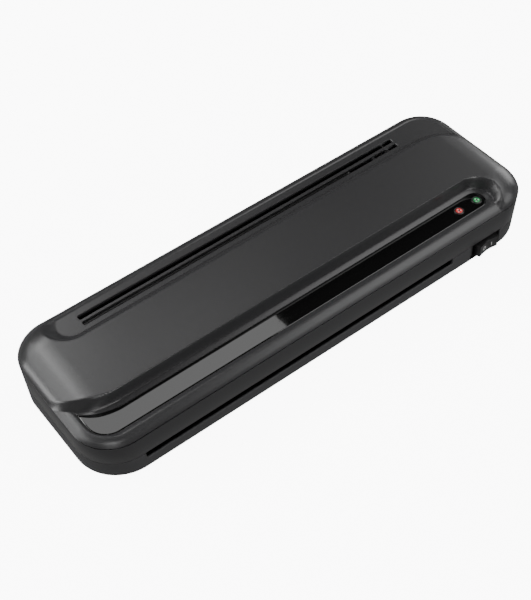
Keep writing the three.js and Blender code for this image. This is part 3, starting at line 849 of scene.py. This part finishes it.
def cornerRadiusAt(z):
    share = (z - casing["bottomZ"]) / (casing["creaseZ"] - casing["bottomZ"])
    return casing["baseRadius"] + (casing["creaseRadius"] - casing["baseRadius"]) * share


def wallProfile(points):
    # Adds the plan radius to each (inset, height), since the walls flare towards the base's corners.
    return [(inset, z, cornerRadiusAt(z)) for inset, z in points]


def buildUpperHousing():
    bottom = casing["seamZ"] + 0.15
    top = casing["creaseZ"] - casing["creaseGap"] - 0.05
    edge = housing["edge"]
    wall = casing["wall"]
    lip = casing["creaseZ"] - 0.3
    node = profileRing("upper_housing_shell", wallProfile([
        (edge, bottom), (edge * 0.3, bottom + edge * 0.3), (0, bottom + edge), (0, 25), (0, top - 0.16),
        (0.05, top - 0.05), (0.14, top), (0.24, top - 0.2), (0.24, top - 1.2), (2.5, top - 1.2), (2.5, lip),
        (3.9, lip), (3.9, top - 5), (wall, top - 5.6), (wall, bottom), (1.2, bottom)]))
    left, right = housing["slotLeft"], housing["slotRight"]
    corner, flare = housing["slotCorner"], housing["slotFlare"]
    high = casing["seamZ"] + housing["slotHeight"]
    front, back, low, top = housing["shelf"]
    cutWith(node, windowCutter("exit", left, right, bottom - 3, high, casing["halfDepth"], 44, corner, flare))
    joinWith(node, block("shelf", (left - 1.5, front, low), (right + 1.5, back, top), 0.3))
    smooth(node, 30)
    return dress(node, wallPlasticPaintedShade, "root", ["upper_housing"])


def buildBottomHousing():
    seam, depth, wall = casing["seamZ"], casing["halfDepth"], casing["wall"]
    top = seam - 0.15
    edge = housing["edge"]
    outline = [
        (6, 3.0), (2.6, 3.0), (2.2, 3.08), (0.85, 3.55), (0.3, 4.2), (0.05, 5.2), (0, 6.2), (0, top - edge),
        (edge * 0.3, top - edge * 0.3), (edge, top), (2.5, top), (2.5, 18.9), (2.7, 19.1), (3.7, 19.1),
        (3.9, 18.9), (3.9, 8.4), (wall, 7.6), (wall, 5.4), (2.6, 5), (6, 5)]
    rings = [(cornerRing(inset, cornerRadiusAt(z) - inset), z) for inset, z in outline]
    node = loftRings("bottom_housing_shell", rings)
    left, right = housing["slotLeft"], housing["slotRight"]
    x0, x1, low = housing["pocket"]
    back = housing["pocketBack"]
    added = [block("pocketBox", (x0 - 1.4, -53.6, 4.4), (x1 + 1.4, back + 1.6, top))]
    for place in cover["posts"]:
        added.append(turnedPiece("post", place, [(5, 4.5), (5, 17.2)], sides=40))
    for place in housing["boardPosts"]:
        added.append(turnedPiece("post", place, [(2.5, 4.5), (2.5, 9.4)], sides=32))
    joinWith(node, *added)
    hole = housing["switchHole"]
    glandHole = housing["glandHole"]
    cutWith(node,
            windowCutter("entry", left, right, seam - housing["slotHeight"], 30, -depth, -44,
                         housing["slotCorner"], housing["slotFlare"]),
            windowCutter("exit", left, right, seam, 30, depth, 44, 0.8, 0.2),
            windowCutter("pocket", x0, x1, low, 30, -depth, back, 0.9, 0.3),
            block("switchHole", (hole[0], -60, hole[2]), (hole[1], -34.6, hole[3])),
            block("entryRelief", (left, -depth + housing["sill"], 9), (right, -45, 30)),
            alongY(turnedPiece("glandHole", housing["gland"], [(glandHole, 44), (glandHole, 60)])))
    cutWith(node,
            *[rod("well", place, housing["wellRadius"], 2, 8.3) for place in cover["posts"]],
            *[rod("hole", place, housing["screwRadius"], 3, 20) for place in cover["posts"]],
            *[rod("footWell", place, housing["footWell"], 2, 3.7, sides=64) for place in housing["feet"]],
            *[rod("hole", place, housing["frameScrew"], 3.4, 6) for place in housing["frameScrews"]])
    smooth(node, 30)
    return dress(node, basePlastic, "root", ["bottom_housing"])


buildUpperHousing()
buildBottomHousing()
print("stage: housings")


lensLook = {
    "radius": 2.75,
    "flange": 3.45,
    # Angles and distance from the middle of the lens for the three painted highlights.
    "paintedGlintAngles": (100, 215, 335),
    "paintedGlintPlace": 0.4,
    "strength": 0.6,
}
# The near-white glint colours in these looks are the colours of the painted highlights.
redLook = {
    **lensLook,
    "rim": (0.012, 0.002, 0.002, 1), "middle": (0.5, 0.03, 0.03, 1),
    "glow": (0.6, 0.006, 0.008, 1), "paintedGlintColour": (1, 0.75, 0.72, 1),
}
greenLook = {
    **lensLook,
    "rim": (0.002, 0.01, 0.004, 1), "middle": (0.02, 0.25, 0.08, 1),
    "glow": (0.004, 0.2, 0.03, 1), "paintedGlintColour": (0.75, 1, 0.82, 1),
}


def buildPanel():
    z = casing["creaseZ"] + cover["stripZ"]
    under = -panel["thickness"]
    levels = [(-0.15, under), (0, under + 0.15), (0, -0.2), (-0.06, -0.06), (-0.2, 0), (-0.7, 0)]
    node = loftRings("indicator_panel_gloss", [(panelPlan(grow), z + rise) for grow, rise in levels])
    for x in panel["lensX"]:
        cutWith(node, rod("hole", (x, panel["lensY"]), panel["hole"], z - 4, z + 4, sides=64))
    smooth(node, 30)
    return dress(node, panelGloss, "root", ["indicator_panel"])


def buildLens(name, x, look):
    top = casing["creaseZ"] + cover["stripZ"]
    flange = look["flange"]
    profile = [
        (0.3, 28.3), (1.9, 28.3), (2.1, 28.4), (2.7, 30), (2.7, top + 0.04), (flange, top + 0.04),
        (flange, top + 0.1), (flange - 0.12, top + 0.2), (flange - 0.4, top + 0.22), (2.85, top + 0.12),
        (2.75, top + 0.1), (2.6, top + 0.2), (2.2, top + 0.31), (1.6, top + 0.37), (1.0, top + 0.34),
        (0.6, top + 0.2), (0.3, top + 0.12), (0.05, top + 0.1)]
    node = turnedPiece(name + "_dome", (x, panel["lensY"]), profile, sides=72)
    smooth(node, 50)
    material = lensPlastic(name + "Plastic", look, (x * mm, panel["lensY"] * mm))
    return dress(node, material, "root", [name])


buildPanel()
buildLens("power_lens", panel["lensX"][0], redLook)
buildLens("ready_lens", panel["lensX"][1], greenLook)
print("stage: indicators")


switch = {
    "face": -52.0,
    "x": 129.5,
    "pivotY": -51.5,
    "half": 8.1,
    "rise": 4.4,
    "bottom": 5.0,
    "top": 14.0,
    "tilt": 2.0,
    "hollow": 1.1,
    "well": (118.5, 139.4, 0.25),
    "markDepth": 0.06,
    "markX": 3.35,
    "ringRadius": 1.5,
    "markWidth": 0.5,
    "barLength": 3.0,
}


def buildSwitchBody():
    x0, x1, low = housing["pocket"]
    face = switch["face"]
    left, right, gap = switch["well"]
    bottom, top = switch["bottom"] - gap, switch["top"] + gap
    bezel = []
    for inset, y in [(0.1, face + 1), (0, face + 0.9), (0, face + 0.3), (0.08, face + 0.08), (0.3, face)]:
        plan = roundedBox(x0 + 0.4 + inset, x1 - 0.4 - inset, low + 0.3 + inset, 16.9 - inset, 0.6)
        bezel.append((plan, y))
    node = alongY(loftRings("switch_bezel", bezel))
    joinWith(node, block("body", (left - 0.6, face + 0.5, low + 0.42), (right + 0.4, -35, 15.1), 0.15))
    well = []
    for grow, y in [(0.2, -60), (0.2, face - 0.01), (0, face + 0.2), (0, switch["pivotY"] + 4.5)]:
        well.append((roundedBox(left - grow, right + grow, bottom - grow, top + grow, 0.4 + grow), y))
    cutWith(node, alongY(loftRings("well", well)))
    smooth(node, 30)
    return dress(node, switchPlastic, "root", ["switch_body"])


def rockerFace(x):
    # The hollowed front face's depth, by distance from the pivot.
    share = min(abs(x) / switch["half"], 1)
    return -switch["rise"] + switch["hollow"] * (1 - share * share)


def rockerTurn(node):
    activate(node)
    turn = -math.radians(switch["tilt"])
    bpy.ops.transform.rotate(value=turn, orient_axis="Z", center_override=(0, 0, 0))
    bpy.ops.transform.translate(value=(switch["x"] * mm, switch["pivotY"] * mm, 0))
    return settle(node)


def buildRocker():
    half, rise = switch["half"], switch["rise"]
    end = math.hypot(half, rise)
    rim = math.degrees(math.atan2(rise, half))
    outline = [
        *arcPoints(0, 0, end, -rim, 0, 10),
        (end - 0.6, 2.0), (end - 3, 2.6), (3 - end, 2.6), (0.6 - end, 2.0),
        *arcPoints(0, 0, end, 180, 180 + rim, 10),
        *[(x, rockerFace(x)) for x in np.linspace(-half, half, 31)[1:-1]]]
    middle = np.mean(outline, axis=0)

    def shrunk(amount):
        points = []
        for px, py in outline:
            direction = np.array((px, py)) - middle
            reach = np.linalg.norm(direction)
            points.append(tuple(middle + direction * (1 - amount / reach)))
        return points

    low, high = switch["bottom"], switch["top"]
    node = loftRings("switch_rocker_cap", [
        (shrunk(0.3), low), (shrunk(0.09), low + 0.09), (outline, low + 0.3),
        (outline, high - 0.3), (shrunk(0.09), high - 0.09), (shrunk(0.3), high)])
    rockerTurn(node)
    smooth(node, 32)
    return dress(node, switchPlastic, "rocker", ["switch_rocker"])


def facePlate(name, x, z, points, hole=None):
    # A thin mark that follows the rocker's hollowed face.
    depth, sunk = switch["markDepth"], -0.02
    rings = [(points, sunk), (points, depth)]
    if hole:
        rings += [(hole, depth), (hole, sunk), (points, sunk)]
    node = loftRings(name, rings, bool(hole))
    across, up, out = (readPoints(node) / mm).T
    surface = np.array([rockerFace(x + value) for value in across])
    writePoints(node, np.stack([x + across, surface - out, z + up], 1) * mm)
    outward(node)
    rockerTurn(node)
    smooth(node, 30)
    node.data.materials.append(paint)
    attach(node, "rocker")
    return node


paint = markPaint("markPaint")
buildSwitchBody()
buildRocker()
markZ = (switch["bottom"] + switch["top"]) / 2
ringOuter = arcPoints(0, 0, switch["ringRadius"], 0, 360, 40)[:-1]
ringInner = arcPoints(0, 0, switch["ringRadius"] - switch["markWidth"], 0, 360, 40)[:-1]
facePlate("switch_mark_off", -switch["markX"], markZ, ringOuter, ringInner)
barHalf = switch["barLength"] / 2
barSide = switch["markWidth"] / 2
bar = roundedBox(-barSide, barSide, -barHalf, barHalf, 0.1, 3)
facePlate("switch_mark_on", switch["markX"], markZ, bar)
print("stage: switch")


gland = {
    "profile": [(3.6, 56.0), (3.85, 56.18), (6.2, 56.18), (6.5, 56.05), (6.6, 55.7), (6.6, 54.45),
                (6.5, 54.3), (5.0, 54.3), (5.0, 49.2), (4.6, 47.8), (3.7, 47.8), (3.6, 48.0)],
}
footShape = {
    "profile": [(0.3, 0.35), (1.6, 0.35), (1.9, 0.25), (2.1, 0), (5.0, 0), (5.35, 0.1), (5.8, 0.55),
                (6, 1.0), (6, 3.2), (5.9, 3.4), (0.3, 3.4)],
}

node = alongY(turnedPiece("cord_gland_rubber", housing["gland"], gland["profile"], sides=64, closed=True))
smooth(node, 30)
dress(node, rubber, "root", ["cord_gland"])
corners = ["rear_right", "rear_left", "front_right", "front_left"]
for corner, place in zip(corners, housing["feet"]):
    node = turnedPiece("foot_pad_" + corner, place, footShape["profile"], sides=64)
    smooth(node, 30)
    dress(node, rubber, "root", ["foot_" + corner])
print("stage: gland and feet")


inner = {
    "root": {
        "side_plate_left": (steel, "steel"), "side_plate_right": (steel, "steel"),
        "lower_bush_left": (brass, "brass"), "lower_bush_right": (brass, "brass"),
        "tie_bar_front": (steel, "steel"), "tie_bar_rear": (steel, "steel"),
        "idler_stud": (steel, "steel"), "motor_bracket": (steel, "steel"), "gear_motor": (steel, "steel"),
        "lower_heating_plate": (aluminium, "aluminium"), "upper_heating_plate": (aluminium, "aluminium"),
        "lower_heating_element": (mica, "mica"), "upper_heating_element": (mica, "mica"),
        "thermostat": (switchPlastic, "switch_plastic"), "thermal_fuse": (steel, "steel"),
        "entry_guide": (switchPlastic, "switch_plastic"), "exit_guide": (switchPlastic, "switch_plastic"),
        "control_board": (board, "board"), "indicator_board": (board, "board"),
        "terminal_block": (nylon, "nylon"), "motor_capacitor": (switchPlastic, "switch_plastic"),
    },
    "upper_carrier": {"upper_bearing_left": (brass, "brass"), "upper_bearing_right": (brass, "brass")},
    "upper_roller": {"upper_roller_shaft": (steel, "steel"), "upper_roller_sleeve": (silicone, "silicone"),
                     "upper_roller_gear": (nylon, "nylon")},
    "lower_roller": {"lower_roller_shaft": (steel, "steel"), "lower_roller_sleeve": (silicone, "silicone"),
                     "lower_roller_gear": (nylon, "nylon")},
    "idler": {"idler_gear": (nylon, "nylon")},
    "pinion": {"motor_pinion": (nylon, "nylon")},
}
for corner in corners:
    inner["root"]["case_screw_" + corner] = (steel, "steel")
    inner["root"]["frame_screw_" + corner] = (steel, "steel")


def refine(name, material, body, width=0.15):
    # A copy of an inner CAD solid with merged faces and fine rounded edges.
    deselectAll()
    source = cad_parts[name]
    source.hide_set(False)
    source.select_set(True)
    bpy.context.view_layer.objects.active = source
    bpy.ops.object.duplicate()
    node = bpy.context.object
    node.name = name + "_fine"
    for held in list(node.modifiers):
        node.modifiers.remove(held)
    activate(node)
    bpy.ops.object.mode_set(mode="EDIT")
    bpy.ops.mesh.select_all(action="SELECT")
    bpy.ops.mesh.remove_doubles(threshold=0.00002)
    bpy.ops.mesh.dissolve_limited(angle_limit=math.radians(1))
    bpy.ops.mesh.normals_make_consistent(inside=False)
    bpy.ops.object.mode_set(mode="OBJECT")
    bevel(node, width, 2, 40)
    smooth(node, 32)
    return dress(node, material, body, [name])


for body, pieces in inner.items():
    for name, (material, slotName) in pieces.items():
        refine(name, material, body)
for name in ("pressure_spring_left", "pressure_spring_right"):
    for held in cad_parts[name].material_slots:
        held.material = steel
print("stage: inner pieces")


lamps = {
    "power_lamp": ("red_lens", (0.7, 0.03, 0.02, 1)),
    "ready_lamp": ("green_lens", (0.03, 0.5, 0.12, 1)),
}
for name, (slotName, colour) in lamps.items():
    recipe = Recipe(name + "Lamp")
    haze = recipe.noise(400.0, 2.0)
    glass = recipe.finish({
        "Base Color": recipe.blend(haze, colour, (0.5, 0.45, 0.4, 1)),
        "Roughness": 0.15 + haze * 0.15,
        "Emission Color": colour,
        "Emission Strength": 0.4,
        "Normal": recipe.bump(haze, 0.1, 0.00005),
    })
    refine(name, glass, "root", 0.1)
print("stage: lamps")


studio = {
    "floorTone": 0.86,
    "floorGlow": 9.0,
    "worldBlend": (-0.08, 0.12),
    "worldBelow": 0.24,
    "worldAbove": 0.015,
    "lights": {
        "stripCard": {"place": (0.201, 0.56, 0.9), "size": (0.38, 0.17), "radiance": 2.2, "down": True},
        "rearTop": {"place": (-0.2, 0.86, 0.9), "size": (0.6, 0.5), "radiance": 5.5, "down": True},
        "overRight": {"place": (0.95, -0.22, 1.25), "size": (1.0, 1.15), "radiance": 3.3, "down": True},
        "frontLeft": {"place": (-0.8, -0.85, 1.45), "size": (0.5, 0.5), "radiance": 1.5},
        "backLeft": {"place": (-0.68, 0.72, 0.8), "size": (1.0, 0.8), "radiance": 3.8},
        "leftLow": {"place": (-1.5, 0.7, 0.25), "size": (0.9, 0.5), "radiance": 8.0},
        "frontLow": {"place": (-0.3, -1.7, 0.45), "size": (1.2, 0.5), "radiance": 8.0},
        "rightFront": {"place": (1.2, -1.0, 0.6), "size": (0.8, 0.7), "radiance": 3.3},
        "right": {"place": (1.8, 0.4, 0.4), "size": (0.9, 0.7), "radiance": 4.5},
        "corner": {"place": (-0.48, -0.33, 1.45), "size": (0.34, 0.34), "radiance": 8.0},
        "backRight": {"place": (1.25, 0.7, 0.9), "size": (0.5, 0.6), "radiance": 1.0},
    },
}


def buildFloor():
    # A pale floor that glows to the eye, but neither lights the object nor shows in its gloss.
    deselectAll()
    bpy.ops.mesh.primitive_plane_add(size=14)
    node = bpy.context.object
    node.name = "floor"
    recipe = Recipe("paperFloor")
    fibre = recipe.noise(900.0, 3.0)
    drift = recipe.noise(1.5, 2.0)
    tone = studio["floorTone"]
    node.data.materials.append(recipe.finish({
        "Base Color": recipe.blend(drift, grey(tone), grey(tone * 1.03)),
        "Roughness": 0.9 + fibre * 0.05,
        "Emission Color": grey(1.0),
        "Emission Strength": studio["floorGlow"],
        "Normal": recipe.bump(fibre, 0.04, 0.0001),
        "Specular IOR Level": 0.1,
    }))
    node.visible_diffuse = False
    node.visible_glossy = False
    node.visible_shadow = False


def softLight(name, place, size, radiance, down=False):
    # An area light of a given radiance that faces the object, or the floor below it.
    light = bpy.data.lights.new(name, "AREA")
    light.shape = "RECTANGLE"
    light.size, light.size_y = size
    light.energy = radiance * math.pi * size[0] * size[1]
    node = bpy.data.objects.new(name, light)
    bpy.context.collection.objects.link(node)
    node.location = place
    target = (place[0], place[1], 0) if down else (0, 0, 0)
    node.rotation_euler = (Vector(target) - Vector(place)).to_track_quat("-Z", "Y").to_euler()


def buildWorld():
    # Grey below the horizon, nearly black above it.
    world = bpy.data.worlds.new("studioWorld")
    world.use_nodes = True
    nodes, links = world.node_tree.nodes, world.node_tree.links
    place = nodes.new("ShaderNodeTexCoord")
    split = nodes.new("ShaderNodeSeparateXYZ")
    ramp = nodes.new("ShaderNodeMapRange")
    ramp.interpolation_type = "SMOOTHSTEP"
    for index, value in enumerate((*studio["worldBlend"], studio["worldBelow"], studio["worldAbove"])):
        ramp.inputs[index + 1].default_value = value
    links.new(place.outputs["Generated"], split.inputs[0])
    links.new(split.outputs["Z"], ramp.inputs["Value"])
    links.new(ramp.outputs["Result"], nodes["Background"].inputs["Strength"])
    nodes["Background"].inputs["Color"].default_value = (1, 1, 1, 1)
    bpy.context.scene.world = world


buildFloor()
for name, light in studio["lights"].items():
    softLight(name, **light)
buildWorld()


view = {
    "position": (-297.06, -411.25, 588.77),
    "right": (0.79510, -0.60516, -0.03997),
    "forward": (0.37134, 0.53788, -0.75683),
    "lens": 71.683,
}

forward = Vector(view["forward"]).normalized()
right = Vector(view["right"]).normalized()
down = forward.cross(right)
camera = bpy.data.objects.new("camera", bpy.data.cameras.new("camera"))
bpy.context.collection.objects.link(camera)
camera.matrix_world = Matrix((
    (right.x, -down.x, -forward.x, view["position"][0] * mm),
    (right.y, -down.y, -forward.y, view["position"][1] * mm),
    (right.z, -down.z, -forward.z, view["position"][2] * mm),
    (0, 0, 0, 1),
))
camera.data.sensor_fit = "VERTICAL"
camera.data.sensor_height = 36
camera.data.lens = view["lens"]
camera.data.clip_start = 0.01
bpy.context.scene.camera = camera
print("stage: studio")
